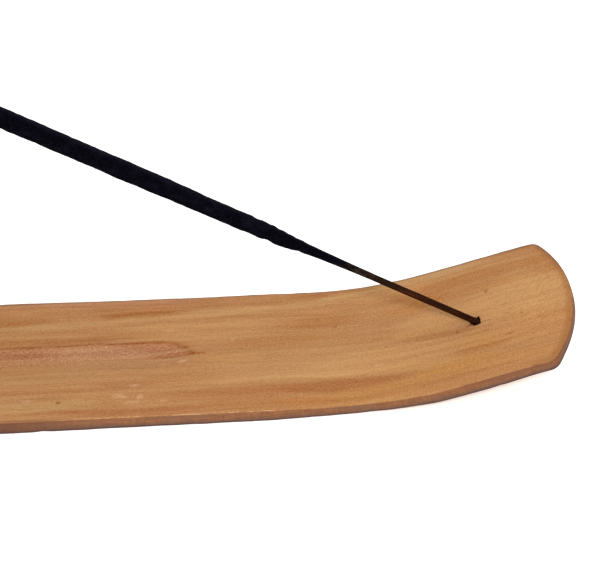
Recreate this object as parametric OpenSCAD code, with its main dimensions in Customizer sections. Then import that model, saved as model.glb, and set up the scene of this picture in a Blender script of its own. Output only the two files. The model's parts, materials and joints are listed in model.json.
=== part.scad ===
// Ski-shaped incense burner: a flat wooden board, bent up at one end, with a shallow groove for
// the ash and a slanted hole that holds one incense stick over it. Millimetres, +Z up. The origin
// is on the table under the middle of the board, and +X runs towards the raised end.

/* [Board] */
// Length of the board, from one end to the other
board_length = 254; // [220:1:320]
// Width of the board
board_width = 38; // [34:1:46]
// Thickness of the flat run where the bend starts
bend_thickness = 2.9; // [2.6:0.1:4]
// Slope of the flat run's upper face, which thickens it towards the low end, in degrees
flat_slope = 0.6; // [0.2:0.1:1]
// Radius of the board's rounded ends, seen from above
end_radius = 30.7; // [27:0.1:60]
// How far the rounded ends' centres lie behind the board's middle line
end_offset = 1.7; // [0:0.1:2.5]
// Radius that blends each rounded end into the sides
corner_radius = 2.5; // [1:0.1:4]

/* [Raised end] */
// Bend radius of the upper face
upper_bend_radius = 100; // [90:1:110]
// Angle that the upper face rises to, in degrees
upper_rise = 18.4; // [17:0.1:19.5]
// Bend radius of the under face
under_bend_radius = 122.5; // [115:0.5:130]
// Angle that the under face rises to, in degrees
under_rise = 21.3; // [20.8:0.1:21.6]
// Length of the straight part of the upper face, beyond the bend
tip_straight = 29.6; // [27:0.1:31]

/* [Ash groove] */
// Width of the groove
groove_width = 8.4; // [6:0.1:12]
// Depth of the groove
groove_depth = 0.8; // [0.4:0.1:1]
// Radius of the wheel that cuts the groove, which sets how gently its ends run out
wheel_radius = 45; // [20:1:80]
// From the start of the bend to the groove's nearer end
groove_from_bend = 27.3; // [20:0.1:50]
// From the low end of the board to the groove's other end
groove_from_end = 20; // [12:1:40]

/* [Stick and its hole] */
// Angle of the stick above the table, in degrees
stick_angle = 32.3; // [28:0.1:40]
// From the middle of the hole's mouth to the tip of the raised end, along the upper face
hole_from_tip = 23.2; // [21:0.1:26]
// How far the hole lies in front of the board's middle line
hole_offset = 0.7; // [0:0.1:2]
// Depth of the hole along the stick
hole_depth = 3.2; // [2:0.1:3.4]
// Gap all round between the stick and the wall of its hole
hole_clearance = 0.07; // [0.03:0.01:0.1]
// Length of the whole stick
stick_length = 230; // [200:1:240]
// Diameter of the bamboo core
core_diameter = 1.46; // [1.3:0.02:1.6]
// Length of clean bamboo showing above the hole
clean_length = 30; // [20:1:35]
// Length of the thin smear where the coating begins
smear_length = 19; // [10:1:25]
// Length of the steep shoulder between the smear and the full coating
shoulder_length = 9; // [5:1:15]
// Diameter of the coating above its shoulder
coat_start_diameter = 3.5; // [3:0.05:4]
// Diameter of the coating over its upper half
coat_diameter = 4.05; // [3.6:0.05:4.5]

/* [Hidden] */

$fn = 360;
small_fn = 64;

// The bend, worked out from its start at x = 0 with the under face on the table
under_end = [under_bend_radius * sin(under_rise), under_bend_radius * (1 - cos(under_rise))];
under_dir = [cos(under_rise), sin(under_rise)];
bend_span = upper_bend_radius * (sin(upper_rise) + sin(flat_slope));
bend_climb = upper_bend_radius * (cos(flat_slope) - cos(upper_rise));
upper_dir = [cos(upper_rise), sin(upper_rise)];
upper_end = [bend_span, bend_thickness + bend_climb];
tip = upper_end + tip_straight * upper_dir;
// The end face is square to the upper face, so the lowest point of the tip reaches furthest out
down_dir = [sin(upper_rise), -cos(upper_rise)];
tip_thickness = -cross(tip - under_end, under_dir) / cross(down_dir, under_dir);
tip_reach = tip[0] + tip_thickness * down_dir[0];

bend_x = board_length / 2 - tip_reach;
flat_length = board_length / 2 + bend_x;
spare = 12;
reach = 2 * board_length;
// How far a blending circle runs past the lines it blends, so that they cross cleanly
blend_overlap = 0.002;

// The hole and the stick
mouth = tip - hole_from_tip * upper_dir;
core_radius = core_diameter / 2;
floor_gap = 0.02;
smear_thickness = 0.06;
smear_end_thickness = 0.4;
coat_growth_length = 60;
tip_cover = 1.5;
tip_round = 1.2;
core_chamfer = 0.2;
coat_end = stick_length - hole_depth;

// Everything above one face of the board, seen from the side: a sloping flat run, then a bend of
// the given radius that ends on a straight rise
module above_face(height, slope, radius, rise) {
    centre = [-radius * sin(slope), height + radius * cos(slope)];
    start = [0, height];
    end = centre + radius * [sin(rise), -cos(rise)];
    polygon([
        start - reach * [cos(slope), sin(slope)],
        start,
        end,
        end + reach * [cos(rise), sin(rise)],
        [0, 2 * reach]
    ]);
    translate(centre)
        circle(radius + blend_overlap);
}

// Outline of one end of the board, with its furthest point at the origin and the board towards -x
module end_outline() {
    centre = [-end_radius, end_offset];
    inner = end_radius - corner_radius;
    side_y = board_width / 2 - corner_radius;
    difference() {
        union() {
            translate(centre)
                circle(end_radius);
            translate([-reach, -reach / 2])
                square([reach - end_radius, reach]);
        }
        for (side = [-1, 1]) {
            y = side * side_y;
            blend = [centre[0] + sqrt(inner * inner - pow(y - end_offset, 2)), y];
            difference() {
                polygon([
                    blend,
                    blend + [0, side * spare],
                    blend + [spare, side * spare],
                    blend + (blend - centre) / inner * spare
                ]);
                translate(blend)
                    circle(corner_radius + blend_overlap, $fn = small_fn);
            }
        }
    }
}

module blank() {
    intersection() {
        translate([bend_x, 0, 0])
            rotate([90, 0, 0])
                linear_extrude(board_width, center = true)
                    difference() {
                        above_face(0, 0, under_bend_radius, under_rise);
                        above_face(bend_thickness, -flat_slope, upper_bend_radius, upper_rise);
                    }
        translate([bend_x + tip[0], 0, tip[1]])
            rotate([0, -upper_rise, 0])
                linear_extrude(reach, center = true)
                    end_outline();
        translate([-board_length / 2, 0, 0])
            linear_extrude(reach, center = true)
                mirror([1, 0])
                    end_outline();
    }
}

// Cutting edge of the wheel, drawn with its deepest point at the origin and the wheel towards +y
module wheel_edge() {
    edge_radius = (pow(groove_width / 2, 2) + pow(groove_depth, 2)) / (2 * groove_depth);
    intersection() {
        translate([0, edge_radius])
            circle(edge_radius);
        translate([-edge_radius, -blend_overlap])
            square([2 * edge_radius, 2 * groove_depth + blend_overlap]);
    }
}

// The wheel is plunged in at one end and drawn along the board to the other
module ash_groove() {
    run_out = sqrt(2 * wheel_radius * groove_depth - pow(groove_depth, 2));
    length = flat_length - groove_from_bend - groove_from_end - 2 * run_out;
    translate([bend_x, 0, bend_thickness])
        rotate([0, flat_slope, 0])
            translate([-groove_from_bend - run_out, 0, -groove_depth]) {
                for (x = [0, -length])
                    translate([x, 0, wheel_radius])
                        rotate([90, 0, 0])
                            rotate_extrude()
                                translate([wheel_radius + blend_overlap, 0])
                                    rotate(90)
                                        wheel_edge();
                rotate([90, 0, -90])
                    linear_extrude(length)
                        wheel_edge();
            }
}

// Puts its children on the stick's own axis: z = 0 at the mouth of the hole and +z up the stick
module on_stick_axis() {
    translate([bend_x + mouth[0], -hole_offset, mouth[1]])
        rotate([0, stick_angle - 90, 0])
            children();
}

module stick_hole() {
    on_stick_axis()
        translate([0, 0, -hole_depth])
            cylinder(r = core_radius + hole_clearance, h = hole_depth + spare, $fn = small_fn);
}

module tray() {
    color("#BC8A5A")
        difference() {
            blank();
            ash_groove();
            stick_hole();
        }
}

module bamboo_core() {
    bottom = floor_gap - hole_depth;
    top = coat_end - tip_cover;
    color("#3C2016")
        on_stick_axis()
            rotate_extrude($fn = small_fn)
                polygon([
                    [0, bottom],
                    [core_radius - core_chamfer, bottom],
                    [core_radius, bottom + core_chamfer],
                    [core_radius, top],
                    [0, top]
                ]);
}

module incense_coating() {
    shoulder = clean_length + smear_length;
    full = shoulder + shoulder_length;
    coat_radius = coat_diameter / 2;
    color("#17171C")
        on_stick_axis()
            difference() {
                rotate_extrude($fn = small_fn) {
                    polygon([
                        [0, clean_length],
                        [core_radius + smear_thickness, clean_length],
                        [core_radius + smear_end_thickness, shoulder],
                        [coat_start_diameter / 2, full],
                        [coat_radius, full + coat_growth_length],
                        [coat_radius, coat_end - tip_round],
                        [coat_radius - tip_round, coat_end - tip_round],
                        [coat_radius - tip_round, coat_end],
                        [0, coat_end]
                    ]);
                    intersection() {
                        translate([coat_radius - tip_round, coat_end - tip_round])
                            circle(tip_round);
                        square([coat_radius, coat_end]);
                    }
                }
                translate([0, 0, clean_length - spare])
                    cylinder(r = core_radius, h = coat_end - tip_cover - clean_length + spare);
            }
}

tray();
bamboo_core();
incense_coating();
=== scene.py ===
import json
from math import asin, cos, pi, radians, sin, sqrt, tan

import bmesh
import bpy
import numpy as np
from mathutils import Matrix, Vector, noise


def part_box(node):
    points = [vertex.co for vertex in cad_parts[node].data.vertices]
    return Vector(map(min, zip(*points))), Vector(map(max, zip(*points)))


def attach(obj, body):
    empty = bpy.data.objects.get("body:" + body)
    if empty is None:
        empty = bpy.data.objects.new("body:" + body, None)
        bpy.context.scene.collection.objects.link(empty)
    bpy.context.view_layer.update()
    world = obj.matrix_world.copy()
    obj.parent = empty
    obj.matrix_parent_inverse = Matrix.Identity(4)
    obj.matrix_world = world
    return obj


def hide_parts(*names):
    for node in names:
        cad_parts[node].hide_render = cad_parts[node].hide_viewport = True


# Ski-shaped incense burner: the looks of the board, the bamboo core and the incense paste.
# Lengths are worked out in millimetres and turned into metres when a mesh is made. On the board,
# s is the length along the upper face, from the start of its bend towards the raised end, y runs
# across the board, and depth goes down from the upper face, square to it.

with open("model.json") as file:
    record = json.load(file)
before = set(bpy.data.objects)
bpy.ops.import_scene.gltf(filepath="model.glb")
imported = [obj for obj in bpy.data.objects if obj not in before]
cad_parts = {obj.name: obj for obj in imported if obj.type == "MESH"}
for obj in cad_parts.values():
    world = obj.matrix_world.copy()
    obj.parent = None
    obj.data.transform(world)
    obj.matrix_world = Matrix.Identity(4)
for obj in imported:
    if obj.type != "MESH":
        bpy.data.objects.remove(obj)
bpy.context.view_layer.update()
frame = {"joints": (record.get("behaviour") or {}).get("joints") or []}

MM = 0.001

# ---------------------------------------------------------------- the board's measures (mm)
HALF_LENGTH, HALF_WIDTH, _ = np.array(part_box("tray")[1]) / MM
BEND_THICKNESS = 2.9
FLAT_SLOPE = radians(0.6)
UPPER_RADIUS = 100.0
UPPER_RISE = radians(18.4)
UNDER_RADIUS = 122.5
UNDER_RISE = radians(21.3)
TIP_STRAIGHT = 29.6
TIP_THICKNESS = 2.487
END_RADIUS = 30.7
END_OFFSET = 1.7
CORNER_RADIUS = 2.5
# Steps round each corner and round the end
CORNER_STEPS = 24
END_STEPS = 160

BEND_RUN = UPPER_RADIUS * (UPPER_RISE + FLAT_SLOPE)
S_TIP = BEND_RUN + TIP_STRAIGHT
BEND_X = (
    HALF_LENGTH
    - UPPER_RADIUS * (sin(UPPER_RISE) + sin(FLAT_SLOPE))
    - TIP_STRAIGHT * cos(UPPER_RISE)
    - TIP_THICKNESS * sin(UPPER_RISE)
)
S_LOW = -(HALF_LENGTH + BEND_X) / cos(FLAT_SLOPE)

# The groove's front wall is softer than its back wall, and its edge wavers a little
GROOVE_HALF_WIDTH = 4.25
GROOVE_DEPTH = 0.8
GROOVE_RUN_OUT = 8.46
GROOVE_NEAR = -27.3
GROOVE_FAR = S_LOW + 20.0
GROOVE_WAVER = 0.12
FRONT_STEEPNESS = 1.7
BACK_STEEPNESS = 3.4

# ---------------------------------------------------------------- the stick's measures (mm)
STICK_AXIS = Vector(frame["joints"][0]["axis"]).normalized()
CORE_RADIUS = 0.73
CORE_SWELLING = 0.03
CORE_CHAMFER = 0.2
FLOOR_GAP = 0.02
CLEAN_LENGTH = 30.0
COAT_OVERLAP = 1.5
COAT_END = 226.8
COAT_TIP_ROUND = 1.2
# Number of sides of the stick's pieces, and their steps along its length
CORE_SIDES = 48
CORE_STEP = 0.5
HIDDEN_STEP = 6.0
COAT_SIDES = 60
COAT_STEP = 0.42

# ---------------------------------------------------------------- the hole (mm)
HOLE_S = S_TIP - 23.2
HOLE_Y = -0.7
HOLE_RADIUS = 0.8
HOLE_DEPTH = 3.2
HOLE_BOTTOM_RING = 0.4
# Angle between the stick and the upper face
HOLE_TILT = UPPER_RISE + asin(STICK_AXIS.z)
# Half the side of the block of cells that is left open round the hole, and its cells per side
HOLE_BLOCK = 2.4
HOLE_CELLS = 16
# How much wider the mouth is than the hole, on the whole and at the least
MOUTH_FLARE = 0.1
LEAST_FLARE = 0.07
MOUTH_WOBBLE = 0.06
# The mouth's rim drops over the last share of the way from the block to the mouth
MOUTH_DROP = 0.16
MOUTH_ROUNDING = 0.1
# The mouth is torn wider at the front and is narrower towards the raised end
MOUTH_TEAR = 0.36
MOUTH_PINCH = 0.1
# A low lip stands round the mouth, and a splinter beside it
LIP_HEIGHT = 0.07
LIP_RADIUS = 1.75
LIP_SPREAD = 0.4
SPLINTER_AT = (HOLE_S + 0.92, HOLE_Y + 0.62)
SPLINTER_HEIGHT = 0.8
SPLINTER_SPREAD = 0.26
SPLINTER_SHADE = 0.34

# ---------------------------------------------------------------- unevenness (mm)
# Each kind of lump has its height, its size, its offset in the noise, and how fast the noise runs
# along s, y and depth
EVEN = (1, 1, 1)
FACE_LUMPS = ((0.07, 11.0, 0.0, (0.5, 1, 1)), (0.016, 1.3, 5.0, (0.16, 1, 1)))
GROOVE_LUMPS = ((0.05, 1.5, 2.0, (0.3, 1, 1)), (0.025, 0.8, 7.0, EVEN))
UPPER_EASING = 0.34
UPPER_LUMPS = ((0.09, 9.0, 1.0, EVEN), (0.06, 2.0, 6.0, EVEN))
LOWER_EASING = 0.15
LOWER_LUMPS = ((0.04, 7.0, 8.0, EVEN), (0.03, 1.6, 3.0, EVEN))
SIDE_LUMPS = ((0.03, 2.2, 11.0, (1, 1, 2)),)
WANDER_LUMPS = ((0.06, 16.0, 12.0, (1, 0.2, 1)), (0.04, 4.0, 2.0, (1, 0.3, 1)))

# How far the hand-sawn outline stands outside the drawn one, at places along s
FRONT_GROWTH = (
    (-90, 0), (-70, -0.02), (-50, 0.05), (-36, 0.05), (-24, 0.2), (-10, 0.26),
    (0, -0.16), (12, -0.24), (20, 0.12), (28, 0.36), (35, 0.08), (50, 0.05),
)
BACK_GROWTH = (
    (-90, 0), (-70, 0.25), (-58, 0.14), (-48, -0.1), (15, -0.05), (25, 0.16), (36, 0.22), (50, 0.22),
)
END_GROWTH = 0.16
# How far the front side leans outwards from its upper edge to its lower edge, at places along s
FRONT_LEAN = ((-58, 0), (-45, 0.14), (-25, 0.2), (-8, 0.2), (3, 0))
# All the sides lean out by this much, and the front corner of the raised end stands out more
SIDE_LEAN = 0.04
CORNER_AT = (55.6, -18.6)
CORNER_SPREAD = 2.6
CORNER_GROWTH = 0.06
CORNER_LEAN = 0.18

# Chipped places on the lower edge: s, y, spread and depth
CHIPS = (
    (41.5, -19.0, 1.0, 0.2),
    (-62.0, -19.0, 1.5, 0.35),
    (-120.0, 19.0, 1.8, 0.5),
    (-150.0, -19.0, 1.4, 0.4),
)

# The coat's radius at heights above the hole: the smear, the steep shoulder and the full coat
COAT_PROFILE = (
    (CLEAN_LENGTH - COAT_OVERLAP, 0.70), (CLEAN_LENGTH, 0.785), (34, 0.83), (38.6, 0.885),
    (44, 1.05), (49.4, 1.29), (52.1, 1.49), (57.4, 1.83),
    (63, 1.91), (75, 1.97), (86, 2.09), (94, 2.12), (101, 2.07), (118, 2.10), (COAT_END, 2.10),
)
# Knobs stand out most at this height, where the shoulder is
SHOULDER_AT = 54
SHOULDER_SPREAD = 6

# ---------------------------------------------------------------- camera, light and floor (m)
AIM = (0.0640, 0.0087, 0.0153)
CAMERA_DISTANCE = 0.450
CAMERA_AZIMUTH = radians(-7.1076)
CAMERA_ELEVATION = radians(43.7149)
CAMERA_ROLL = radians(2.1648)
LENS = 116.15
SENSOR = 36.0
KEY_AIM = (0.09, 0.0, 0.01)
KEY_FROM = (-0.081, -0.64, 0.765)
KEY_DISTANCE = 0.9
KEY_SIZE = 0.14
KEY_POWER = 4.3
# The sky from low to high: the upward part of the direction, and the strength there
SKY_LOW = (-0.1, 0.72)
SKY_HIGH = (0.9, 0.93)
FLOOR_HALF = 6.0
FLOOR_DROP = 0.00005
FLOOR_GLOW = 0.3

# Brings the noise of mathutils to about -1 to 1
NOISE_GAIN = 1.6


def rough(points, size, offset=0.0, pace=EVEN):
    """Smooth noise, about -1 to 1, at each point."""
    at = np.asarray(points, float) * pace / size + offset
    values = [noise.noise(Vector(v)) for v in at.reshape(-1, 3)]
    return np.array(values).reshape(at.shape[:-1]) * NOISE_GAIN


def lumpy(points, kinds, base=0.0):
    """The base and several kinds of lumps, added up at each point."""
    for height, size, offset, pace in kinds:
        base = base + height * rough(points, size, offset, pace)
    return base


def smooth_step(low, high, x):
    t = np.clip((x - low) / (high - low), 0, 1)
    return t * t * (3 - 2 * t)


def bell(distance, spread):
    """1 at no distance, falling smoothly to almost 0 at twice the spread."""
    return np.exp(-((distance / spread) ** 2))


def between(x, pairs):
    """Values at x on straight lines between the pairs of place and value."""
    return np.interp(x, *np.transpose(pairs))


def grid_lines(start, *spans):
    """Grid lines from start through each span, which is its end and its number of equal steps."""
    lines = [start]
    for end, steps in spans:
        lines.extend(np.linspace(lines[-1], end, steps + 1)[1:])
    return np.array(lines)


# ================================================================= meshes
def mesh_object(name, points_mm, faces, attributes):
    """A closed mesh piece, with unused points dropped and its attributes kept."""
    used, places = np.unique(np.concatenate([np.ravel(f) for f in faces]), return_inverse=True)
    sizes = np.cumsum([np.size(f) for f in faces])[:-1]
    polygons = []
    for rows, part in zip(faces, np.split(places, sizes)):
        polygons.extend(part.reshape(np.shape(rows)).tolist())
    mesh = bpy.data.meshes.new(name)
    mesh.from_pydata((points_mm[used] * MM).tolist(), [], polygons)
    for key, values in attributes.items():
        kind, field = ("FLOAT", "value") if values.ndim == 1 else ("FLOAT_VECTOR", "vector")
        stored = mesh.attributes.new(key, kind, "POINT")
        stored.data.foreach_set(field, values[used].astype(np.float32).ravel())
    work = bmesh.new()
    work.from_mesh(mesh)
    bmesh.ops.recalc_face_normals(work, faces=work.faces)
    work.to_mesh(mesh)
    work.free()
    mesh.polygons.foreach_set("use_smooth", [True] * len(mesh.polygons))
    piece = bpy.data.objects.new(name, mesh)
    bpy.context.scene.collection.objects.link(piece)
    return piece


def top_line(s):
    """The upper face's side view at s: x, z and its angle above the table."""
    angle = -FLAT_SLOPE + np.clip(s, 0, BEND_RUN) / UPPER_RADIUS
    x = BEND_X + UPPER_RADIUS * (np.sin(angle) + sin(FLAT_SLOPE))
    z = BEND_THICKNESS + UPPER_RADIUS * (cos(FLAT_SLOPE) - np.cos(angle))
    flat, tip = np.minimum(s, 0), np.maximum(s - BEND_RUN, 0)
    x = x + flat * cos(FLAT_SLOPE) + tip * cos(UPPER_RISE)
    z = z - flat * sin(FLAT_SLOPE) + tip * sin(UPPER_RISE)
    return x, z, angle


def under_height(x):
    """Height of the under face at x."""
    reach = x - BEND_X
    on_arc = np.clip(reach, 0, UNDER_RADIUS * sin(UNDER_RISE))
    z = UNDER_RADIUS - np.sqrt(UNDER_RADIUS**2 - on_arc**2)
    return z + (np.maximum(reach, 0) - on_arc) * tan(UNDER_RISE)


def thickness(s):
    """Thickness of the board, measured square to the upper face."""
    x, z, angle = top_line(s)
    depth = np.full(np.shape(s), BEND_THICKNESS)
    for _ in range(12):
        miss = z - depth * np.cos(angle) - under_height(x + depth * np.sin(angle))
        depth = depth + miss
    return depth


def placed(s, y, depth):
    """Points of the board in the frame's x, y and z."""
    x, z, angle = top_line(s)
    return np.stack([x + depth * np.sin(angle), y, z - depth * np.cos(angle)], -1)


def end_outline():
    """The outline from side to side round the raised end: s, y, outward s and y."""
    centre = np.array([S_TIP - END_RADIUS, END_OFFSET])
    side_y = HALF_WIDTH - CORNER_RADIUS
    inner = END_RADIUS - CORNER_RADIUS
    corners, limits = [], []
    for side in (-1, 1):
        rise = side * side_y - END_OFFSET
        blend = centre + [sqrt(inner**2 - rise**2), rise]
        limits.append(asin(rise / inner))
        angles = np.linspace(side * pi / 2, limits[-1], CORNER_STEPS + 1)
        # the outline runs from front to back, so the back corner is taken the other way round
        corners.append((blend, CORNER_RADIUS, angles if side < 0 else angles[::-1]))
    front, back = corners
    end = (centre, END_RADIUS, np.linspace(*limits, END_STEPS + 1)[1:-1])
    rows = []
    for middle, radius, angles in (front, end, back):
        out = np.stack([np.cos(angles), np.sin(angles)], -1)
        rows.append(np.hstack([middle + radius * out, out]))
    return np.vstack(rows)


# Rows of the grid, closer together at the edges, at the groove's back wall and round the hole
ROW_Y = grid_lines(
    -19, (-16.4, 5), (-4.8, 20), (HOLE_Y - HOLE_BLOCK, 8), (HOLE_Y + HOLE_BLOCK, HOLE_CELLS),
    (3.4, 6), (4.8, 8), (16.4, 20), (19, 5),
)
# Columns of its straight part: the far part, the part in the photograph, the hole, and on from it
COLUMN_S = np.concatenate([
    np.arange(-176, -80, 1.0),
    np.arange(-80, 36.6, 0.55),
    np.linspace(HOLE_S - HOLE_BLOCK, HOLE_S + HOLE_BLOCK, HOLE_CELLS + 1),
    np.arange(42.5, 46.4, 0.5),
])
# Columns of each rounded end, which close up towards it
END_COLUMNS = 24
END_CLOSING = 1.25
# Rows at each side that are spread evenly round the corners
TAIL_ROWS = 8
# The grid stops this far inside the outline, and the eased edge begins there
EDGE_INSET = 0.95


def board_grid():
    """Grid of s, y over the whole outline, with the outward direction at its border."""
    outline = end_outline()
    run = np.concatenate([[0], np.cumsum(np.hypot(*np.diff(outline[:, :2], axis=0).T))])
    along = np.interp(ROW_Y, outline[:, 1], run)
    along[:TAIL_ROWS] = np.linspace(0, along[TAIL_ROWS], TAIL_ROWS + 1)[:-1]
    along[-TAIL_ROWS:] = np.linspace(along[-1 - TAIL_ROWS], run[-1], TAIL_ROWS + 1)[1:]
    ends = np.stack([np.interp(along, run, outline[:, k]) for k in range(4)], -1)
    ends[:, 2:] /= np.hypot(ends[:, 2], ends[:, 3])[:, None]
    ends[[0, -1], 2:] = [[0, -1], [0, 1]]
    low = ends * [-1, 1, -1, 1]
    low[:, 0] += S_TIP + S_LOW
    inset_y = ROW_Y * (HALF_WIDTH - EDGE_INSET) / HALF_WIDTH

    def zone(start_s, edge):
        inner = edge[:, :2] - EDGE_INSET * edge[:, 2:]
        t = np.linspace(0, 1, END_COLUMNS + 1)[1:, None]
        t = 1 - (1 - t) ** END_CLOSING
        return start_s + (inner[:, 0] - start_s) * t, inset_y + (inner[:, 1] - inset_y) * t

    near = zone(COLUMN_S[-1], ends)
    far = zone(COLUMN_S[0], low)
    y_mid = np.tile(inset_y, (len(COLUMN_S), 1))
    s_mid = np.tile(COLUMN_S[:, None], (1, len(ROW_Y)))
    # near the hole the rows are not drawn in, so that the block round it is square
    by_hole = smooth_step(30, 36, COLUMN_S)[:, None]
    y_mid = y_mid + (ROW_Y - y_mid) * by_hole * (1 - smooth_step(3.6, 12, np.abs(ROW_Y)))
    s = np.vstack([far[0][::-1], s_mid, near[0]])
    y = np.vstack([far[1][::-1], y_mid, near[1]])
    return s, y, ends, low


def border(s, y, ends, low):
    """The grid's border in order: indices, inset place and outward direction."""
    columns, rows = s.shape
    index = np.arange(columns * rows).reshape(columns, rows)
    loop = np.concatenate([index[:-1, 0], index[-1, :-1], index[:0:-1, -1], index[0, :0:-1]])
    out = np.zeros((columns, rows, 2))
    out[:, 0], out[:, -1] = (0, -1), (0, 1)
    out[-1], out[0] = ends[:, 2:], low[:, 2:]
    place = np.stack([s.ravel()[loop], y.ravel()[loop]], -1)
    return index, loop, place, out.reshape(-1, 2)[loop]


def groove(s, y):
    """How far into the groove a point lies: 0 on its middle line, 1 on its edge, more beyond."""
    over = np.maximum(s - (GROOVE_NEAR - GROOVE_RUN_OUT), (GROOVE_FAR + GROOVE_RUN_OUT) - s)
    return np.hypot(np.maximum(over, 0) / GROOVE_RUN_OUT, y / GROOVE_HALF_WIDTH)


def from_splinter(s, y):
    return np.hypot(s - SPLINTER_AT[0], y - SPLINTER_AT[1])


def top_relief(s, y):
    """How far the upper face stands above (+) or below its true shape."""
    flat = np.stack([s, y, np.zeros_like(s)], -1)
    edge = groove(s, y + GROOVE_WAVER * rough(flat, 3.0, 9.0))
    steepness = FRONT_STEEPNESS + (BACK_STEEPNESS - FRONT_STEEPNESS) * smooth_step(-2, 1, y)
    cut = GROOVE_DEPTH * np.clip(1 - edge**steepness, 0, 1)
    floor = smooth_step(0.02, 0.3, cut) * lumpy(flat, GROOVE_LUMPS)
    from_hole = np.hypot(s - HOLE_S, y - HOLE_Y)
    lip = LIP_HEIGHT * bell(from_hole - LIP_RADIUS, LIP_SPREAD) * (0.6 + rough(flat, 0.7, 3.0))
    splinter = SPLINTER_HEIGHT * bell(from_splinter(s, y), SPLINTER_SPREAD)
    return lumpy(flat, FACE_LUMPS) - cut + floor + lip + splinter


class Shell:
    """The board's points, in layers with their masks, and the faces between them."""

    def __init__(self):
        self.layers, self.faces, self.count = [], [], 0

    def add(self, s, y, depth, side=0.0, worn=0.0, dark=0.0):
        """Adds a layer of points and returns their indices."""
        # side and worn mark the sawn sides and the worn rim; dark marks where shade is painted in the
        # hole
        columns = (s, y, depth, side, worn, dark)
        self.layers.append(np.stack([np.broadcast_to(c, s.shape).astype(float) for c in columns]))
        self.count += s.size
        return np.arange(self.count - s.size, self.count)

    def bridge(self, a, b):
        """Joins two closed rings that have as many points as each other."""
        self.faces.append(np.stack([a, np.roll(a, -1), np.roll(b, -1), b], -1))


def add_hole(shell, block, block_s, block_y):
    """Adds the mouth, the wall and the bottom of the hole, inside the open block of cells."""
    ds, dy = block_s - HOLE_S, block_y - HOLE_Y
    turn = np.arctan2(dy, ds)
    circle = np.stack([np.cos(turn), np.sin(turn), np.zeros_like(turn)], -1)
    mouth = HOLE_RADIUS + MOUTH_FLARE + MOUTH_WOBBLE * rough(circle, 0.45, 4.0)
    mouth += MOUTH_TEAR * smooth_step(-2.2, -1.85, turn) * smooth_step(-0.4, -0.95, turn)
    mouth -= MOUTH_PINCH * bell(turn + 0.05, 0.35)
    mouth = np.maximum(mouth, HOLE_RADIUS + LEAST_FLARE)
    mouth_s, mouth_y = mouth * np.cos(turn) / sin(HOLE_TILT), mouth * np.sin(turn)
    # the last rings of the mouth, the wall and the bottom get dark, the mask of painted shade
    previous = block
    for t in (0.16, 0.32, 0.47, 0.6, 0.72, 0.82, 0.9, 0.96, 1.0):
        drop = MOUTH_DROP * max(t - (1 - MOUTH_ROUNDING), 0) / MOUTH_ROUNDING
        ring_s = HOLE_S + ds + (mouth_s - ds) * t + drop / tan(HOLE_TILT)
        ring_y = HOLE_Y + dy + (mouth_y - dy) * t
        current = shell.add(ring_s, ring_y, drop, dark=smooth_step(0.75, 1, t))
        shell.bridge(previous, current)
        previous = current

    # the flare fades down the wall, and the last ring lies on the bottom
    rings = [
        (t, HOLE_RADIUS + (mouth - HOLE_RADIUS) * np.exp(-t / 0.12))
        for t in (0.06, 0.14, 0.26, 0.42, 0.6, 0.8, 1.0)
    ]
    rings.append((1.0, np.full_like(mouth, HOLE_BOTTOM_RING)))
    for t, radius in rings:
        across = radius * np.cos(turn)
        at_mouth = -across / tan(HOLE_TILT) - MOUTH_DROP / sin(HOLE_TILT)
        along = at_mouth * (1 - t) - HOLE_DEPTH * t
        # from the stick's axes to distance along the face and depth under it
        ring_s = HOLE_S + across * sin(HOLE_TILT) - along * cos(HOLE_TILT)
        depth = -across * cos(HOLE_TILT) - along * sin(HOLE_TILT)
        current = shell.add(ring_s, HOLE_Y + radius * np.sin(turn), depth, dark=1.0)
        shell.bridge(previous, current)
        previous = current
    centre = shell.add(
        np.array([HOLE_S + HOLE_DEPTH * cos(HOLE_TILT)]), np.array([HOLE_Y]),
        HOLE_DEPTH * sin(HOLE_TILT), dark=1.0,
    )
    fan = [previous, np.roll(previous, -1), np.full_like(previous, centre[0])]
    shell.faces.append(np.stack(fan, -1))


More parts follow.
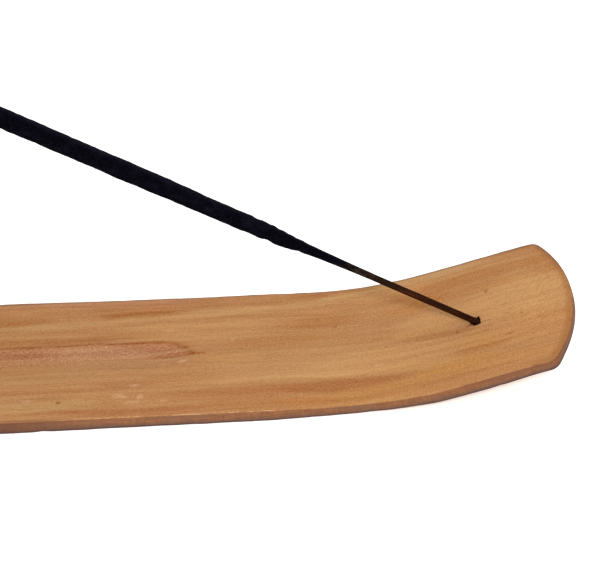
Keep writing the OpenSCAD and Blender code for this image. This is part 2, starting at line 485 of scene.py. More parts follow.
def add_sides(shell, loop, place, out):
    """Adds the eased edges and the sawn sides, from the upper face down, and returns the last ring."""
    full = place + EDGE_INSET * out
    s, y = full.T
    level = np.hstack([full, np.zeros((len(full), 1))])
    height = thickness(s)
    upper = lumpy(level, UPPER_LUMPS, UPPER_EASING)
    lower = lumpy(level, LOWER_LUMPS, LOWER_EASING)
    lower = lower + sum(
        deep * bell(np.hypot(s - chip_s, y - chip_y), spread) for chip_s, chip_y, spread, deep in CHIPS
    )
    to_end = smooth_step(S_TIP - 12, S_TIP - 5, s)
    grow = np.where(y < 0, between(s, FRONT_GROWTH), between(s, BACK_GROWTH))
    grow = grow + (END_GROWTH - grow) * to_end
    corner = bell(np.hypot(s - CORNER_AT[0], y - CORNER_AT[1]), CORNER_SPREAD)
    front_lean = np.where(y < 0, between(s, FRONT_LEAN), 0) * (1 - to_end)
    full = full + (grow + CORNER_GROWTH * corner - front_lean)[:, None] * out
    lean = SIDE_LEAN + CORNER_LEAN * corner + front_lean

    # each ring: how far inside the full outline, depth, and masks of the sawn side and of wear
    rings = []
    for a in np.arange(6) / 5 * pi / 2:
        inset, depth = upper * (1 - sin(a)), upper * (1 - cos(a))
        rings.append((inset, depth, smooth_step(0.3, 0.95, a / pi * 2), sin(2 * a) if a else 0.3))
    for step in (0.2, 0.4, 0.6, 0.8):
        depth = upper + (height - upper - lower) * step
        bulge = lumpy(np.hstack([full, depth[:, None]]), SIDE_LUMPS)
        rings.append((-(bulge + lean * step), depth, 1.0, 0.0))
    for a in np.arange(5) / 4 * pi / 2:
        inset, depth = lower * (1 - cos(a)) - lean, height - lower * (1 - sin(a))
        rings.append((inset, depth, 1 - smooth_step(0.5, 1, a / pi * 2), 0.5 * sin(2 * a)))
    previous = loop
    for inset, depth, side, worn in rings:
        ring = full - inset[:, None] * out
        current = shell.add(ring[:, 0], ring[:, 1], depth, side, worn)
        shell.bridge(previous, current)
        previous = current
    return previous


def edge_gap(s, y):
    """Distance from the outline, up to 9 mm."""
    middle_s = (S_TIP + S_LOW) / 2
    from_end = np.abs(s - middle_s) - (S_TIP - middle_s - END_RADIUS)
    end_gap = END_RADIUS - np.hypot(np.maximum(from_end, 0), y - END_OFFSET)
    end_gap = np.where(from_end > END_RADIUS * 0.4, end_gap, 9.0)
    return np.clip(np.minimum(end_gap, HALF_WIDTH - np.abs(y)), 0, 9)


def make_tray():
    s, y, ends, low = board_grid()
    index, loop, place, out = border(s, y, ends, low)
    grid_s, grid_y = s.ravel(), y.ravel()
    shell = Shell()
    shell.add(grid_s, grid_y, 0.0)

    # the upper face, with the block of cells round the hole left open
    i0 = int(np.argmin(np.abs(s[:, 0] - (HOLE_S - HOLE_BLOCK))))
    j0 = int(np.argmin(np.abs(ROW_Y - (HOLE_Y - HOLE_BLOCK))))
    i1, j1 = i0 + HOLE_CELLS, j0 + HOLE_CELLS
    quads = np.stack([index[:-1, :-1], index[1:, :-1], index[1:, 1:], index[:-1, 1:]], -1)
    keep = np.ones(quads.shape[:2], bool)
    keep[i0:i1, j0:j1] = False
    shell.faces.append(quads[keep])
    block = np.concatenate([
        index[i0:i1, j0], index[i1, j0:j1], index[i1:i0:-1, j1], index[i0, j1:j0:-1]
    ])
    add_hole(shell, block, grid_s[block], grid_y[block])
    in_hole = slice(grid_s.size, shell.count)
    last_ring = add_sides(shell, loop, place, out)

    # the under face, on the same grid
    first = shell.count
    shell.add(grid_s, grid_y, thickness(grid_s))
    shell.faces.append(quads.reshape(-1, 4)[:, ::-1] + first)
    shell.bridge(last_ring, loop + first)

    # the relief fades from the upper face to the under face, and down the hole's wall
    s, y, depth, sawn_side, edge_wear, hole_shade = np.hstack(shell.layers)
    share = np.clip(1 - depth / thickness(s), 0, 1)
    fade = share.copy()
    fade[in_hole] = np.clip(1 - depth[in_hole], 0, 1)
    # the sides wander a little from straight
    outer = np.abs(y / HALF_WIDTH) ** 3 * np.sign(y)
    wander = lumpy(np.stack([s, y, np.zeros_like(s)], -1), WANDER_LUMPS)
    points = placed(s, y + outer * wander, depth - top_relief(s, y) * fade)
    points[:, 2] = np.maximum(points[:, 2], 0.0)

    edge = groove(s, y)
    on_top = smooth_step(0.6, 1.0, share)
    return mesh_object("board", points, shell.faces, {
        "grain": np.stack([s, y, depth], -1),
        "edge_gap": edge_gap(s, y),
        "share": share,
        "groove_floor": (1 - smooth_step(0.78, 1.0, edge)) * on_top,
        "groove_wall": bell(edge - 0.99, 0.085) * on_top * smooth_step(-1.5, 2.5, y),
        "sawn_side": sawn_side,
        "edge_wear": edge_wear,
        # painted shade, near black in the hole; round the splinter the darkness is partly painted
        # shade and partly burnt wood
        "hole_shade": np.maximum(hole_shade, bell(from_splinter(s, y), SPLINTER_SHADE)),
    })


mouth_x, mouth_z, _ = top_line(np.array(HOLE_S))
MOUTH = Vector((mouth_x, HOLE_Y, mouth_z))
# Square to the stick: across the board, and downwards
ACROSS = Vector((0, 1, 0))
DOWN = STICK_AXIS.cross(ACROSS)


def lathe(name, heights, radius_at, sides):
    """A closed piece turned round the stick's axis, with the radius given by radius_at."""
    t, a = np.meshgrid(heights, np.linspace(0, 2 * pi, sides, endpoint=False), indexing="ij")
    r = radius_at(t, a)
    local = np.stack([r * np.cos(a), r * np.sin(a), t], -1).reshape(-1, 3)
    local = np.vstack([local, [0, 0, heights[0]], [0, 0, heights[-1]]])
    points = np.array(MOUTH)
    for column, direction in enumerate((DOWN, ACROSS, STICK_AXIS)):
        points = points + local[:, column, None] * np.array(direction)
    index = np.arange(t.size).reshape(t.shape)
    after = np.roll(index, -1, axis=1)
    faces = [np.stack([index[:-1], after[:-1], after[1:], index[1:]], -1).reshape(-1, 4)]
    for row, middle in ((0, t.size), (-1, t.size + 1)):
        faces.append(np.stack([index[row], after[row], np.full(sides, middle)], -1))
    around = np.append(a.ravel(), [0, 0])
    grain = np.stack([np.cos(around), np.sin(around), local[:, 2]], -1)
    return mesh_object(name, points, faces, {"grain": grain, "place": local})


def core_radius(t, a):
    """A splint shaved to four soft ridges, narrow where it stands in the hole."""
    ridges = rough(np.stack([np.cos(a), np.sin(a), t / 30], -1), 0.33, 3.0)
    knots = rough(np.stack([t, t * 0, t * 0], -1), 6.0, 8.0)
    shaved = 0.014 * np.cos(4 * a + 0.03 * t) + 0.010 * np.cos(3 * a - 0.05 * t + 1)
    body = CORE_RADIUS + CORE_SWELLING + 0.02 * np.cos(a + pi / 4) + shaved
    body = body + 0.012 * ridges + 0.01 * knots
    fitting = between(t, ((0.5, HOLE_RADIUS - 0.015), (2.0, 0.9)))
    chamfer = np.clip(t + HOLE_DEPTH - FLOOR_GAP, 0, CORE_CHAMFER) - CORE_CHAMFER
    return np.minimum(body, fitting) + chamfer


def coat_radius(t, a):
    """Hand-rolled paste: a thin smear, a knobbly shoulder and a lumpy full coat."""
    profile = between(t, COAT_PROFILE)
    body = np.stack([profile * np.cos(a), profile * np.sin(a), t], -1)
    lumps = rough(body, 2.6, 4.0, (1, 1, 0.5))
    grit = rough(body, 0.75, 7.0, (1, 1, 0.8))
    bends = rough(body, 7.0, 1.0, (0.2, 0.2, 1))
    knobs = rough(body, 1.7, 12.0, (1, 1, 0.9))
    full = smooth_step(46, 58, t)
    film = smooth_step(CLEAN_LENGTH, 38, t)
    radius = profile + (0.012 + 0.035 * full) * lumps + (0.008 + 0.016 * full) * grit
    radius = radius + 0.03 * film * bends
    radius = radius + (0.07 * full + 0.2 * bell(t - SHOULDER_AT, SHOULDER_SPREAD)) * knobs
    top = np.clip(t - (COAT_END - COAT_TIP_ROUND), 0, COAT_TIP_ROUND) / COAT_TIP_ROUND
    return radius - COAT_TIP_ROUND * (1 - np.sqrt(1 - top**2))


def make_core():
    bottom = FLOOR_GAP - HOLE_DEPTH
    shown = np.arange(bottom + CORE_CHAMFER, CLEAN_LENGTH + 3, CORE_STEP)
    hidden = np.arange(CLEAN_LENGTH + 6, COAT_END - 2, HIDDEN_STEP)
    return lathe("stick_core", np.concatenate([[bottom], shown, hidden]), core_radius, CORE_SIDES)


def make_coat():
    body = np.arange(CLEAN_LENGTH - COAT_OVERLAP, COAT_END - COAT_TIP_ROUND, COAT_STEP)
    tip = COAT_END - COAT_TIP_ROUND * (1 - np.sin(np.linspace(0, pi / 2, 8)))
    return lathe("stick_coat", np.concatenate([body, tip]), coat_radius, COAT_SIDES)


# ================================================================= materials
class Nodes:
    """Short ways to add nodes to one material."""

    def __init__(self, name):
        self.material = bpy.data.materials.new(name)
        self.material.use_nodes = True
        self.tree = self.material.node_tree
        self.tree.nodes.clear()

    def add(self, kind, inputs=None, out=0, **settings):
        made = self.tree.nodes.new("ShaderNode" + kind)
        for key, value in settings.items():
            setattr(made, key, value)
        for key, value in (inputs or {}).items():
            if isinstance(value, bpy.types.NodeSocket):
                self.tree.links.new(value, made.inputs[key])
            else:
                made.inputs[key].default_value = value
        return made.outputs[out]

    def attribute(self, name, out="Fac"):
        return self.add("Attribute", out=out, attribute_name=name, attribute_type="GEOMETRY")

    def math(self, operation, *values):
        return self.add("Math", dict(enumerate(values)), operation=operation)

    def times(self, a, b):
        return self.math("MULTIPLY", a, b)

    def times_plus(self, a, b, c):
        return self.math("MULTIPLY_ADD", a, b, c)

    def vector(self, operation, *values):
        return self.add("VectorMath", dict(enumerate(values)), operation=operation)

    def dot(self, a, b):
        return self.add("VectorMath", {0: a, 1: b}, out="Value", operation="DOT_PRODUCT")

    def noise(self, at, pace, detail, roughness):
        """Noise, about 0 to 1; the pace is one number, or one for each axis."""
        if isinstance(pace, tuple):
            at, pace = self.vector("MULTIPLY", at, pace), 1.0
        inputs = {"Vector": at, "Scale": pace, "Detail": detail, "Roughness": roughness}
        return self.add("TexNoise", inputs, noise_dimensions="3D")

    def swing(self, at, pace, detail, roughness):
        """Noise, about -1 to 1."""
        return self.times(self.math("SUBTRACT", self.noise(at, pace, detail, roughness), 0.5), 2.0)

    def span(self, value, low, high, to_low=0.0, to_high=1.0):
        """A smooth step from one end value to the other; low may lie above high."""
        inputs = {"Value": value, "From Min": low, "From Max": high}
        inputs.update({"To Min": to_low, "To Max": to_high})
        return self.add("MapRange", inputs, interpolation_type="SMOOTHSTEP")

    def mix(self, share, a, b):
        """From a to b as the share goes from 0 to 1."""
        inputs = {0: share}
        for key, colour in ((6, a), (7, b)):
            inputs[key] = (*colour, 1) if isinstance(colour, tuple) else colour
        return self.add("Mix", inputs, out=2, data_type="RGBA", blend_type="MIX")

    def tint(self, base, mask, most, colour):
        """The base with the colour mixed in, to the given share where the mask is 1."""
        return self.mix(self.times(mask, most), base, colour)

    def finish(self, colour, roughness, height, distance, specular):
        bump = self.add("Bump", {"Height": height, "Distance": distance, "Strength": 1.0})
        inputs = {"Base Color": colour, "Roughness": roughness, "Normal": bump}
        self.shader = self.add("BsdfPrincipled", {**inputs, "Specular IOR Level": specular})
        output = self.tree.nodes.new("ShaderNodeOutputMaterial")
        self.tree.links.new(self.shader, output.inputs["Surface"])
        return self.material


# One step of eight-bit red, green and blue, as light, near the wood's own colour
LEVEL = (0.0049, 0.0032, 0.0019)
WOOD = (0.389, 0.187, 0.0725)

# Streaks of the wood: s, y, half length, half width, slope in degrees, and the shift in red, green
# and blue levels
STREAKS = (
    # along the back edge, from the low part of the view to the bend
    (-62, 16.2, 58, 5.0, 1.0, (-5, -7, -6)),
    (-70, 12.8, 14, 1.5, 1.0, (-9, -11, -11)),
    (-38, 13.3, 13, 1.4, 2.0, (-15, -19, -19)),
    (-35, 15.4, 9, 1.4, 3.0, (6, 4, 3)),
    (-45, 18.0, 36, 1.4, 0.0, (0, 0, 8)),
    (-20, 16.9, 24, 2.0, 3.0, (-3, -4, -3)),
    (10, 18.3, 15, 1.6, 4.0, (-6, -11, -8)),
    (-4, 16.4, 12, 1.0, 5.0, (-6, -7, -8)),
    # the pale line under it
    (-62, 10.6, 18, 1.4, 2.5, (2, 8, 7)),
    (-30, 12.6, 26, 1.5, 3.5, (8, 11, 9)),
    (-4, 14.4, 22, 1.3, 5.5, (7, 10, 7)),
    (13, 17.0, 12, 1.2, 6.5, (5, 11, 6)),
    # above the groove
    (-68, 5.7, 34, 1.4, 0.0, (-10, -12, -11)),
    (-69, 2.9, 14, 1.5, 0.0, (-9, -12, -12)),
    (-71, 10.3, 8, 1.2, 0.0, (-7, -8, -9)),
    (-44, 6.9, 14, 1.2, 2.0, (-7, -9, -8)),
    (-58, 8.6, 16, 1.1, 1.0, (-4, -5, -5)),
    (-25, 7.4, 24, 4.2, 3.0, (6, 6, 4)),
    (4, 8.6, 13, 2.4, 5.0, (-4, -9, -10)),
    (-8, 10.5, 20, 1.6, 5.0, (2, 2, 1)),
    (-31, 0.4, 9, 0.9, 1.0, (-13, -19, -19)),
    (-35, 3.4, 11, 1.5, 0.0, (-6, -10, -10)),
    (-68, -1.0, 16, 4.5, 0.0, (-2, -4, -6)),
    (-18, -2.0, 10, 1.3, 1.0, (7, 6, 2)),
    (-6, 3.0, 18, 1.6, 2.0, (-3, -6, -8)),
    (4, 12.4, 14, 1.6, 5.0, (1, -2, -2)),
    # the pale middle
    (-4, -4.6, 30, 5.0, 1.0, (4, 6, 5)),
    (-2, -9.0, 34, 1.3, 1.5, (9, 11, 7)),
    (16, -6.0, 26, 4.4, 1.5, (9, 9, 5)),
    (-18, 0.2, 14, 1.6, 2.0, (-2, -2, -2)),
    (30, -1.9, 11, 1.2, -6.0, (-8, -10, -10)),
    (50, -2.0, 7, 1.4, 0.0, (-6, -6, -5)),
    (-30, -7.0, 14, 1.4, 0.0, (-5, -4, -4)),
    (25, -9.7, 12, 1.5, 1.0, (6, 6, 2)),
    (30, 10.2, 7, 1.2, 3.0, (-5, -7, -8)),
    (28, 0.6, 12, 1.0, 1.0, (8, 9, 2)),
    # the raised end
    (32, 3.8, 15, 2.6, 2.0, (12, 13, 8)),
    (52, 3.2, 17, 7.0, 0.0, (12, 14, 8)),
    (54, -6.5, 14, 6.0, 0.0, (5, 2, -2)),
    (36, 13.0, 28, 2.4, 1.0, (-4, -8, -10)),
    # painted light: lifts the stick's cast shadow, which falls across here
    (21, 15.0, 12, 2.2, 1.0, (10, 9, 5)),
    (25, 9.2, 10, 2.4, 2.0, (1, -4, -8)),
    (33, -12.0, 14, 1.8, 1.0, (5, 3, -5)),
    (40, -6.4, 7, 3.0, 0.0, (4, 2, -4)),
    (34, 15.6, 16, 1.0, 2.0, (3, 3, 0)),
    (34, 17.8, 15, 1.6, 0.0, (6, 12, 11)),
    (40, 9.0, 18, 1.6, 2.0, (-2, -5, -7)),
    (40, -9.4, 9, 1.4, 1.0, (-7, -10, -11)),
    (60, 12.0, 8, 5.0, 0.0, (-4, -8, -9)),
    # the brown wedge near the front edge and the yellower wood round it
    (7, -12.5, 21, 2.0, 0.5, (-12, -18, -16)),
    (-20, -13.2, 22, 2.6, 1.0, (-5, -10, -9)),
    (14, -14.7, 34, 1.1, 4.5, (3, 2, -1)),
    (30, -16.2, 46, 3.4, 1.5, (2, -1, -6)),
    (36, -17.2, 18, 1.8, 0.0, (-4, -5, -1)),
    (-12, -17.0, 24, 2.0, 0.5, (-3, -7, -8)),
    (-44, -17.2, 24, 1.4, -0.5, (-9, -14, -10)),
    # low part of the view, in front of the groove
    (-62, -14.6, 18, 1.8, 0.0, (1, 7, 5)),
    (-64, -5.8, 20, 1.9, 0.0, (-3, 1, 2)),
    (-62, -10.2, 20, 1.0, 0.0, (-5, -7, -6)),
    (-65, -12.2, 10, 1.0, 0.0, (-6, -6, -4)),
    (-42, -8.6, 11, 1.1, 0.5, (-7, -10, -7)),
    (-60, -12.0, 8, 0.8, 0.0, (-6, -6, -5)),
    (-26, -8.0, 16, 2.4, 1.0, (2, -1, -2)),
    (-47, -15.0, 9, 1.2, 0.0, (-3, -4, -4)),
    # the far part, which the photograph doesn't show
    (-110, 15.0, 46, 3.6, 1.0, (-7, -11, -8)),
    (-150, 12.4, 40, 2.0, 0.5, (4, 7, 6)),
    (-104, 9.6, 30, 1.6, 1.5, (4, 7, 6)),
    (-130, 7.2, 44, 1.6, -0.5, (-10, -14, -12)),
    (-176, 5.6, 22, 1.8, -1.0, (-8, -11, -9)),
    (-120, -7.4, 46, 2.6, 0.5, (5, 8, 6)),
    (-168, -6.8, 26, 1.8, -1.0, (-7, -9, -7)),
    (-98, -12.4, 24, 1.4, -0.5, (-8, -12, -10)),
    (-140, -12.8, 40, 2.0, 0.8, (-9, -14, -13)),
    (-120, -16.4, 50, 1.8, 0.0, (4, 5, 0)),
    (-178, -15.0, 22, 2.4, 1.0, (3, 6, 4)),
    (-180, 0.0, 14, 2.6, 0.0, (-5, -7, -4)),
)

# Small marks: s, y, half length, half width, slope, shift in levels
MARKS = (
    (-58.3, -13.5, 0.8, 0.6, 0, (-34, -42, -36)),
    (43.6, 7.7, 0.8, 0.6, 20, (-34, -32, -26)),
    (47.3, 2.0, 1.0, 0.3, 0, (-26, -24, -20)),
    (47.4, -1.0, 1.2, 0.3, -5, (-26, -24, -20)),
    (7.0, 6.5, 0.6, 0.7, 30, (-22, -22, -16)),
    (42.4, -1.4, 1.3, 0.2, 4, (-30, -32, -26)),
    (41.1, -0.9, 0.3, 0.3, 0, (34, 34, 32)),
    (41.7, -2.3, 1.6, 0.22, 12, (16, 14, 12)),
    (42.4, -3.3, 1.3, 0.22, 8, (-22, -28, -18)),
    (34.9, -2.8, 0.8, 0.5, 0, (-15, -16, -8)),
    (38.2, -1.6, 1.5, 0.6, 0, (-22, -26, -14)),
    (41.2, -4.6, 1.6, 0.3, 10, (-10, -14, -10)),
    (50.5, -2.2, 1.2, 0.25, 20, (-16, -18, -14)),
    (46.5, -7.5, 1.6, 0.4, 8, (-14, -18, -16)),
    (55.0, -5.6, 1.2, 0.3, 24, (-14, -18, -14)),
    (51.0, -11.0, 1.0, 0.3, 10, (-12, -16, -12)),
    (-41.0, -9.3, 1.6, 0.5, 3, (22, 26, 30)),
    (-44.5, -12.4, 2.2, 0.9, -4, (20, 25, 30)),
    (-39.9, -12.8, 1.1, 0.9, 10, (30, 36, 44)),
    (-42.0, -14.5, 2.6, 0.8, 2, (14, 18, 22)),
    (-35.0, -14.3, 1.8, 0.6, 0, (14, 18, 20)),
    (-65.3, -12.8, 1.4, 0.5, 0, (18, 22, 26)),
    (-29.6, -2.1, 1.6, 0.8, 8, (28, 32, 42)),
    (-34.0, -2.8, 1.8, 0.6, 6, (14, 16, 22)),
    (-32.0, 8.0, 1.8, 0.7, 5, (12, 14, 18)),
    (-17.5, 4.0, 0.5, 1.0, 0, (14, 14, 16)),
    (15.5, -7.4, 1.6, 0.9, 0, (10, 14, 16)),
    (-26.6, 0.1, 3.2, 0.5, 3, (-14, -18, -14)),
)

# How far the grain moves across the board for each millimetre of depth
FIBRE_TILT = 0.35
# How far the slow sway and the ragged edges move the streaks and marks (mm)
SWAY = 2.2
STREAK_RAG = 1.5
MARK_RAG = 0.5
# The streaks are drawn a little wider than listed, because their edges fade
STREAK_SPREAD = 1.25


class Wood(Nodes):
    """The board's wood: coordinates that follow its grain, and shifts that add up to its colour."""

    def __init__(self, name):
        super().__init__(name)
        self.place = self.attribute("grain", out="Vector")
        self.s, self.y, self.depth = self.add("SeparateXYZ", {0: self.place}).node.outputs
        # the grain rises through the board, so the faces and the sides agree
        tilted = self.times_plus(self.depth, FIBRE_TILT, self.y)
        sway = self.math("SUBTRACT", self.noise(self.place, (0.030, 0.12, 0.12), 2.0, 0.5), 0.5)
        self.rag = self.math("SUBTRACT", self.noise(self.place, (0.13, 1.5, 1.0), 3.0, 0.6), 0.5)
        self.swayed = self.times_plus(sway, SWAY, tilted)
        self.ragged = self.times_plus(self.rag, STREAK_RAG, self.swayed)
        self.loose = self.times_plus(self.rag, MARK_RAG, tilted)
        self.planes, self.total = {}, (0.0, 0.0, 0.0)

    def plane(self, across, deep, slope):
        """Coordinates along and across a streak of the given slope."""
        if (across, slope) not in self.planes:
            lifted = self.times_plus(self.s, -tan(radians(slope)), across)
            self.planes[across, slope] = self.add("CombineXYZ", {0: self.s, 1: lifted, 2: deep})
        return self.planes[across, slope]

    def spindle(self, across, deep, s0, y0, length, width, slope, inner):
        """1 inside a long narrow patch, fading to 0 at its outline."""
        y0 = y0 - tan(radians(slope)) * s0
        local = self.vector(
            "MULTIPLY_ADD", self.plane(across, deep, slope), (1 / length, 1 / width, 0.5),
            (-s0 / length, -y0 / width, 0.0),
        )
        return self.span(self.dot(local, local), 1.0, inner)

    def shift(self, mask, levels):
        """Moves the wood's colour by red, green and blue levels where the mask is 1."""
        step = tuple(v * k for v, k in zip(levels, LEVEL))
        step = self.add("VectorMath", {0: step, 3: mask}, operation="SCALE")
        self.total = self.vector("ADD", step, self.total)


def lay_streaks(n):
    for s0, y0, length, width, slope, levels in STREAKS:
        width = width * STREAK_SPREAD
        n.shift(n.spindle(n.ragged, 0.0, s0, y0, length, width, slope, 0.05), levels)
    broken = n.span(n.noise(n.place, (1.5, 3.0, 2.0), 3.0, 0.7), 0.36, 0.62, 0.15, 1.25)
    for s0, y0, length, width, slope, levels in MARKS:
        mask = n.spindle(n.loose, n.depth, s0, y0, length, width, slope, 0.0)
        n.shift(n.times(mask, broken), levels)


def lay_grain(n):
    """Slow bands, fibres, specks and pores; gives back what the bump and the roughness need."""
    at = n.add("CombineXYZ", {0: n.s, 1: n.swayed, 2: n.depth})
    bands = n.swing(at, (0.020, 0.75, 0.6), 3.0, 0.6)
    fibres = n.swing(at, (0.16, 3.6, 3.0), 3.0, 0.65)
    fine = n.swing(at, (0.8, 7.0, 6.0), 2.0, 0.6)
    specks = n.swing(n.place, (1.7, 2.3, 2.0), 3.0, 0.7)
    mottle = n.swing(n.place, (3.1, 3.7, 3.0), 2.0, 0.6)
    n.shift(n.times(mottle, n.span(n.s, -30.0, 15.0, 0.3, 1.0)), (26, 27, 24))
    n.shift(bands, (16, 20, 16))
    n.shift(fibres, (13, 15, 12))
    n.shift(fine, (16, 17, 15))
    n.shift(specks, (26, 28, 26))
    pores = n.span(n.noise(at, (0.55, 6.5, 5.0), 1.0, 0.4), 0.66, 0.76)
    n.shift(pores, (-18, -20, -16))
    return fibres, fine, specks, pores


def lay_flecks(n):
    """Oblique flecks near the raised end's rounded edge."""
    at = n.add(
        "Mapping", {0: n.place, 1: (54, 1, 0), 2: (0, 0, radians(38)), 3: (2.0, 0.45, 3.0)},
        vector_type="TEXTURE",
    )
    fleck = n.span(n.noise(at, 1.0, 3.0, 0.6), 0.40, 0.64, -1.0, 1.0)
    zone = n.spindle(n.y, n.depth, 56, 2, 13, 13, 0, 0.2)
    n.shift(n.times(fleck, zone), (-5, -6, -5))


def lay_groove(n):
    """The groove's floor, greyer and speckled, and the dark line along its back wall."""
    floor = n.attribute("groove_floor")
    wall = n.attribute("groove_wall")
    wall = n.times(wall, n.span(n.rag, -0.25, 0.20, 0.15, 1.0))
    wall = n.times(wall, n.span(n.s, -72.0, -60.0, 0.55, 1.0))
    floor = n.times(floor, n.span(n.ragged, -4.5, 0.8))
    n.shift(floor, (-2, 0, 5))
    n.shift(n.times(floor, n.span(n.y, -2.0, 3.0)), (-4, -6, 0))
    dust = n.swing(n.place, (1.8, 2.1, 2.0), 3.0, 0.75)
    n.shift(n.times(floor, dust), (33, 37, 42))
    flour = n.span(n.noise(n.place, (1.6, 2.0, 2.0), 2.0, 0.6), 0.56, 0.68)
    n.shift(n.times(floor, flour), (16, 21, 27))
    n.shift(wall, (-33, -36, -26))
    return floor, dust


def sawn_sides(n):
    """The sides' colour: browner, with saw marks and red lines, with painted shade on the lower half
    and a dark painted line of shade along the lower edge.
    """
    saw = n.noise(n.place, (1.6, 1.6, 0.5), 3.0, 0.6)
    lines = n.noise(n.place, (0.25, 0.25, 4.0), 3.0, 0.6)
    tone = n.math("ADD", n.times(saw, 0.5), n.times(lines, 0.7))
    colour = n.mix(n.span(tone, 0.35, 0.85), (0.130, 0.046, 0.022), (0.270, 0.110, 0.046))
    dull = n.span(n.noise(n.place, (0.11, 0.4, 0.5), 2.0, 0.5), 0.40, 0.62)
    colour = n.tint(colour, dull, 0.55, (0.150, 0.076, 0.044))
    # painted shade: the lower half of the sides darker, broken up by the saw marks
    low_shade = n.span(n.times_plus(tone, 0.3, n.attribute("share")), 0.80, 0.20)
    colour = n.tint(colour, low_shade, 0.8, (0.074, 0.046, 0.042))
    # painted shade: a dark line along the lower edge, where the side meets the floor
    lower_edge_shade = n.span(n.attribute("share"), 0.25, 0.07)
    colour = n.tint(colour, lower_edge_shade, 0.88, (0.034, 0.024, 0.028))
    # a red line under the upper edge, towards the low end and on the raised end
    upper_line = n.times(n.span(n.attribute("share"), 0.80, 0.95), n.span(n.s, -36.0, -56.0))
    colour = n.tint(colour, upper_line, 0.6, (0.120, 0.036, 0.018))
    raised_line = n.times(n.span(n.attribute("share"), 0.45, 0.90), n.span(n.s, 22.0, 40.0))
    colour = n.tint(colour, raised_line, 0.45, (0.150, 0.046, 0.020))
    low_end = n.span(n.s, -50.0, -72.0)
    return n.tint(colour, low_end, 0.5, (0.085, 0.034, 0.018)), tone


def lay_grime_and_shade(n, base):
    """Grime by the edges: orange-brown round the raised end and duller along the front; along the
    back, a darker line that is partly grime and partly painted shade of the edge that turns away from
    the light.
    """
    gap = n.times_plus(n.rag, 0.8, n.attribute("edge_gap"))
    end_band = n.times(n.span(gap, 2.1, 0.5), n.span(n.s, 44.0, 56.0))
    base = n.tint(base, end_band, 0.6, (0.28, 0.105, 0.028))
    stain = n.span(n.noise(n.place, (0.9, 0.5, 0.5), 3.0, 0.6), 0.44, 0.60)
    stain = n.times(stain, n.times(n.span(gap, 0.45, 0.05), n.span(n.s, 40.0, 52.0)))
    base = n.tint(base, stain, 0.5, (0.125, 0.046, 0.022))
    # partly painted shade: the back edge's rounding turns away from the light
    back_grime_and_shade = n.times(n.span(gap, 0.85, 0.25), n.span(n.y, 6.0, 14.0))
    base = n.tint(base, back_grime_and_shade, 0.55, (0.17, 0.095, 0.065))
    front_line = n.times(n.span(gap, 0.95, 0.2), n.span(n.y, -14.0, -17.0))
    front_line = n.times(front_line, n.span(n.s, -50.0, -62.0))
    return n.tint(base, front_line, 0.6, (0.19, 0.070, 0.034))


def wood_material():
    n = Wood("tray_wood")
    lay_streaks(n)
    fibres, fine, specks, pores = lay_grain(n)
    lay_flecks(n)
    floor, dust = lay_groove(n)
    base = n.vector("ADD", n.total, WOOD)
    base = n.vector("MAXIMUM", base, (0.02, 0.01, 0.005))

    side = n.attribute("sawn_side")
    wear = n.attribute("edge_wear")
    hole = n.attribute("hole_shade")
    side_colour, side_tone = sawn_sides(n)
    base = lay_grime_and_shade(n, base)
    colour = n.mix(n.times(side, 0.9), base, side_colour)
    # pale worn spots on the rim, most of them in the middle of the front edge
    spots = n.noise(n.place, (0.6, 0.6, 1.2), 3.0, 0.7)
    rim = n.times(n.span(wear, 0.55, 1.0), n.span(spots, 0.44, 0.60))
    rubbed = n.spindle(n.y, 0.0, -28, -19, 32, 8, 0, 0.3)
    rim = n.times(rim, n.times_plus(rubbed, 0.75, 0.15))
    colour = n.mix(rim, colour, (0.55, 0.29, 0.15))
    # painted shade: near black in the hole, and darker round the splinter
    colour = n.mix(hole, colour, (0.008, 0.0025, 0.0012))

    height = n.times_plus(fibres, 0.5, n.times(fine, 0.35))
    height = n.times_plus(pores, -0.5, height)
    height = n.times_plus(specks, 0.25, height)
    height = n.times_plus(n.times(dust, floor), 1.2, height)
    height = n.times_plus(n.times(side_tone, side), 1.8, height)
    roughness = n.times_plus(fibres, 0.12, 0.56)
    roughness = n.times_plus(n.math("ADD", side, floor), 0.14, roughness)
    roughness = n.times_plus(hole, 0.3, roughness)
    return n.finish(colour, roughness, height, 0.00003, 0.10)


def bamboo_material():
    n = Nodes("bamboo")
    grain = n.attribute("grain", out="Vector")
    place = n.attribute("place", out="Vector")
    fibre = n.noise(grain, (3.2, 3.2, 0.22), 4.0, 0.65)
    streak = n.noise(grain, (1.3, 1.3, 0.10), 2.0, 0.5)
    blotch = n.noise(place, (0.6, 0.6, 0.35), 3.0, 0.6)
    colour = n.mix(n.span(fibre, 0.36, 0.64), (0.012, 0.0036, 0.0012), (0.040, 0.0098, 0.0024))
    colour = n.mix(n.span(streak, 0.50, 0.72, 0.0, 0.6), colour, (0.066, 0.0195, 0.0052))
    colour = n.mix(n.span(blotch, 0.50, 0.74, 0.0, 0.7), colour, (0.009, 0.0060, 0.0056))
    # redder underneath, and sooty close to the paste
    below = n.span(n.dot(grain, (0.8, -0.6, 0.0)), 0.1, 0.9)
    colour = n.tint(colour, below, 0.6, (0.026, 0.0040, 0.0004))
    along = n.add("SeparateXYZ", {0: place}).node.outputs[2]
    sooty = n.span(n.times_plus(blotch, 5.0, along), 22.0, 31.0, 0.0, 0.8)
    colour = n.mix(sooty, colour, (0.0085, 0.0052, 0.0034))
    height = n.times_plus(fibre, 1.0, n.times(streak, 0.6))
    roughness = n.span(blotch, 0.3, 0.7, 0.52, 0.75)
    return n.finish(colour, roughness, height, 0.00006, 0.03)


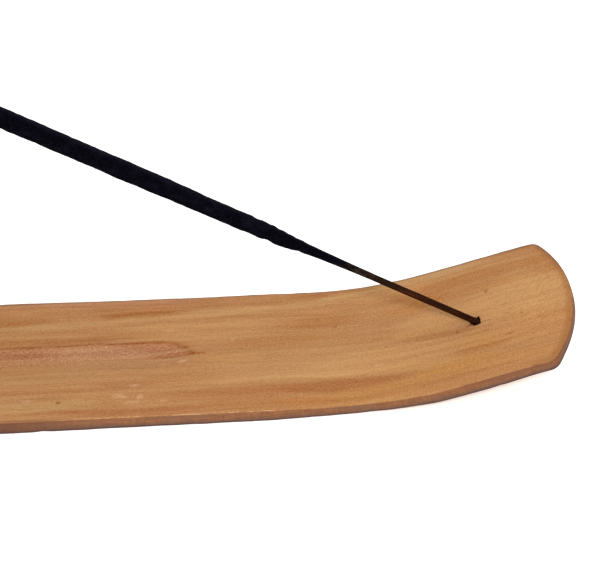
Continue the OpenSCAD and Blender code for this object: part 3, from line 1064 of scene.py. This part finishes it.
def paste_material():
    n = Nodes("incense_paste")
    place = n.attribute("place", out="Vector")
    along = n.add("SeparateXYZ", {0: place}).node.outputs[2]
    grit = n.noise(place, (2.6, 2.6, 2.0), 4.0, 0.7)
    lump = n.noise(place, (0.5, 0.5, 0.25), 2.0, 0.5)
    speck = n.noise(place, (5.0, 5.0, 5.0), 2.0, 0.6)
    colour = n.mix(n.span(grit, 0.35, 0.68), (0.0002, 0.0002, 0.0008), (0.0030, 0.0026, 0.0056))
    colour = n.mix(n.span(lump, 0.46, 0.70, 0.0, 0.6), colour, (0.0052, 0.0047, 0.0090))
    colour = n.mix(n.span(speck, 0.64, 0.74, 0.0, 0.7), colour, (0.020, 0.018, 0.025))
    # painted sheen: the upper side lighter, in patches that follow the grit
    upper_sheen = n.dot(n.attribute("grain", out="Vector"), (-0.8, 0.6, 0.0))
    upper_sheen = n.times(n.span(upper_sheen, 0.35, 1.0), n.span(grit, 0.30, 0.62, 0.25, 0.9))
    colour = n.mix(upper_sheen, colour, (0.0095, 0.0085, 0.0165))
    # the smear: thin enough for the bamboo to show through in patches
    patch = n.noise(place, (1.1, 1.1, 0.32), 4.0, 0.65)
    thin = n.span(along, 43.0, 33.0)
    shown = n.times(thin, n.span(n.times_plus(thin, 0.12, patch), 0.50, 0.64))
    colour = n.mix(shown, colour, (0.024, 0.0145, 0.0090))
    height = n.times_plus(speck, 0.4, grit)
    roughness = n.span(lump, 0.3, 0.7, 0.82, 0.95)
    return n.finish(colour, roughness, height, 0.00010, 0.012)


def floor_material():
    n = Nodes("pale_floor")
    place = n.add("TexCoord", out="Object")
    cloud = n.noise(place, 3.0, 2.0, 0.5)
    grit = n.noise(place, 900.0, 2.0, 0.5)
    colour = n.mix(cloud, (0.92, 0.92, 0.92), (0.95, 0.95, 0.95))
    made = n.finish(colour, n.span(cloud, 0.3, 0.7, 0.85, 0.95), grit, 0.00001, 0.1)
    glow = n.shader.node.inputs
    glow["Emission Color"].default_value = (1, 1, 1, 1)
    glow["Emission Strength"].default_value = FLOOR_GLOW
    return made


# ================================================================= pieces
tray_piece = make_tray()
core_piece = make_core()
coat_piece = make_coat()
for piece, body, node, slot, material in (
    (tray_piece, "tray", "tray", "tray_wood", wood_material()),
    (core_piece, "stick", "bamboo_core", "bamboo", bamboo_material()),
    (coat_piece, "stick", "incense_coating", "incense_paste", paste_material()),
):
    piece.data.materials.append(material)
    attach(piece, body)
    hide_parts(node)

# ================================================================= floor, light and camera
scene = bpy.context.scene
floor_mesh = bpy.data.meshes.new("floor")
floor_mesh.from_pydata(
    [(x * FLOOR_HALF, y * FLOOR_HALF, -FLOOR_DROP) for x, y in ((-1, -1), (1, -1), (1, 1), (-1, 1))],
    [], [(0, 1, 2, 3)],
)
floor = bpy.data.objects.new("floor", floor_mesh)
scene.collection.objects.link(floor)
floor.data.materials.append(floor_material())

key_data = bpy.data.lights.new("key", "AREA")
key_data.shape, key_data.size, key_data.energy = "DISK", KEY_SIZE, KEY_POWER
key = bpy.data.objects.new("key", key_data)
scene.collection.objects.link(key)
key_direction = Vector(KEY_FROM).normalized()
key.location = Vector(KEY_AIM) + key_direction * KEY_DISTANCE
key.rotation_mode = "QUATERNION"
key.rotation_quaternion = key_direction.to_track_quat("Z", "Y")

world = bpy.data.worlds.new("studio")
world.use_nodes = True
sky = world.node_tree
sky.nodes.clear()
sky_at, sky_parts, sky_ramp, sky_light, sky_out = (
    sky.nodes.new("ShaderNode" + kind)
    for kind in ("TexCoord", "SeparateXYZ", "MapRange", "Background", "OutputWorld")
)
for side, (upward, strength) in (("Min", SKY_LOW), ("Max", SKY_HIGH)):
    sky_ramp.inputs["From " + side].default_value = upward
    sky_ramp.inputs["To " + side].default_value = strength
sky.links.new(sky_at.outputs["Generated"], sky_parts.inputs[0])
sky.links.new(sky_parts.outputs["Z"], sky_ramp.inputs["Value"])
sky.links.new(sky_ramp.outputs[0], sky_light.inputs["Strength"])
sky_light.inputs["Color"].default_value = (1, 1, 1, 1)
sky.links.new(sky_light.outputs[0], sky_out.inputs["Surface"])
scene.world = world
scene.view_settings.view_transform = "Standard"

camera_data = bpy.data.cameras.new("camera")
camera_data.lens, camera_data.sensor_width = LENS, SENSOR
camera_data.clip_start, camera_data.clip_end = 0.01, 20.0
camera = bpy.data.objects.new("camera", camera_data)
scene.collection.objects.link(camera)
camera_turn = (
    Matrix.Rotation(CAMERA_AZIMUTH, 4, "Z")
    @ Matrix.Rotation(pi / 2 - CAMERA_ELEVATION, 4, "X")
    @ Matrix.Rotation(CAMERA_ROLL, 4, "Z")
)
camera_place = Vector(AIM) + camera_turn @ Vector((0, 0, CAMERA_DISTANCE))
camera.matrix_world = Matrix.Translation(camera_place) @ camera_turn
scene.camera = camera
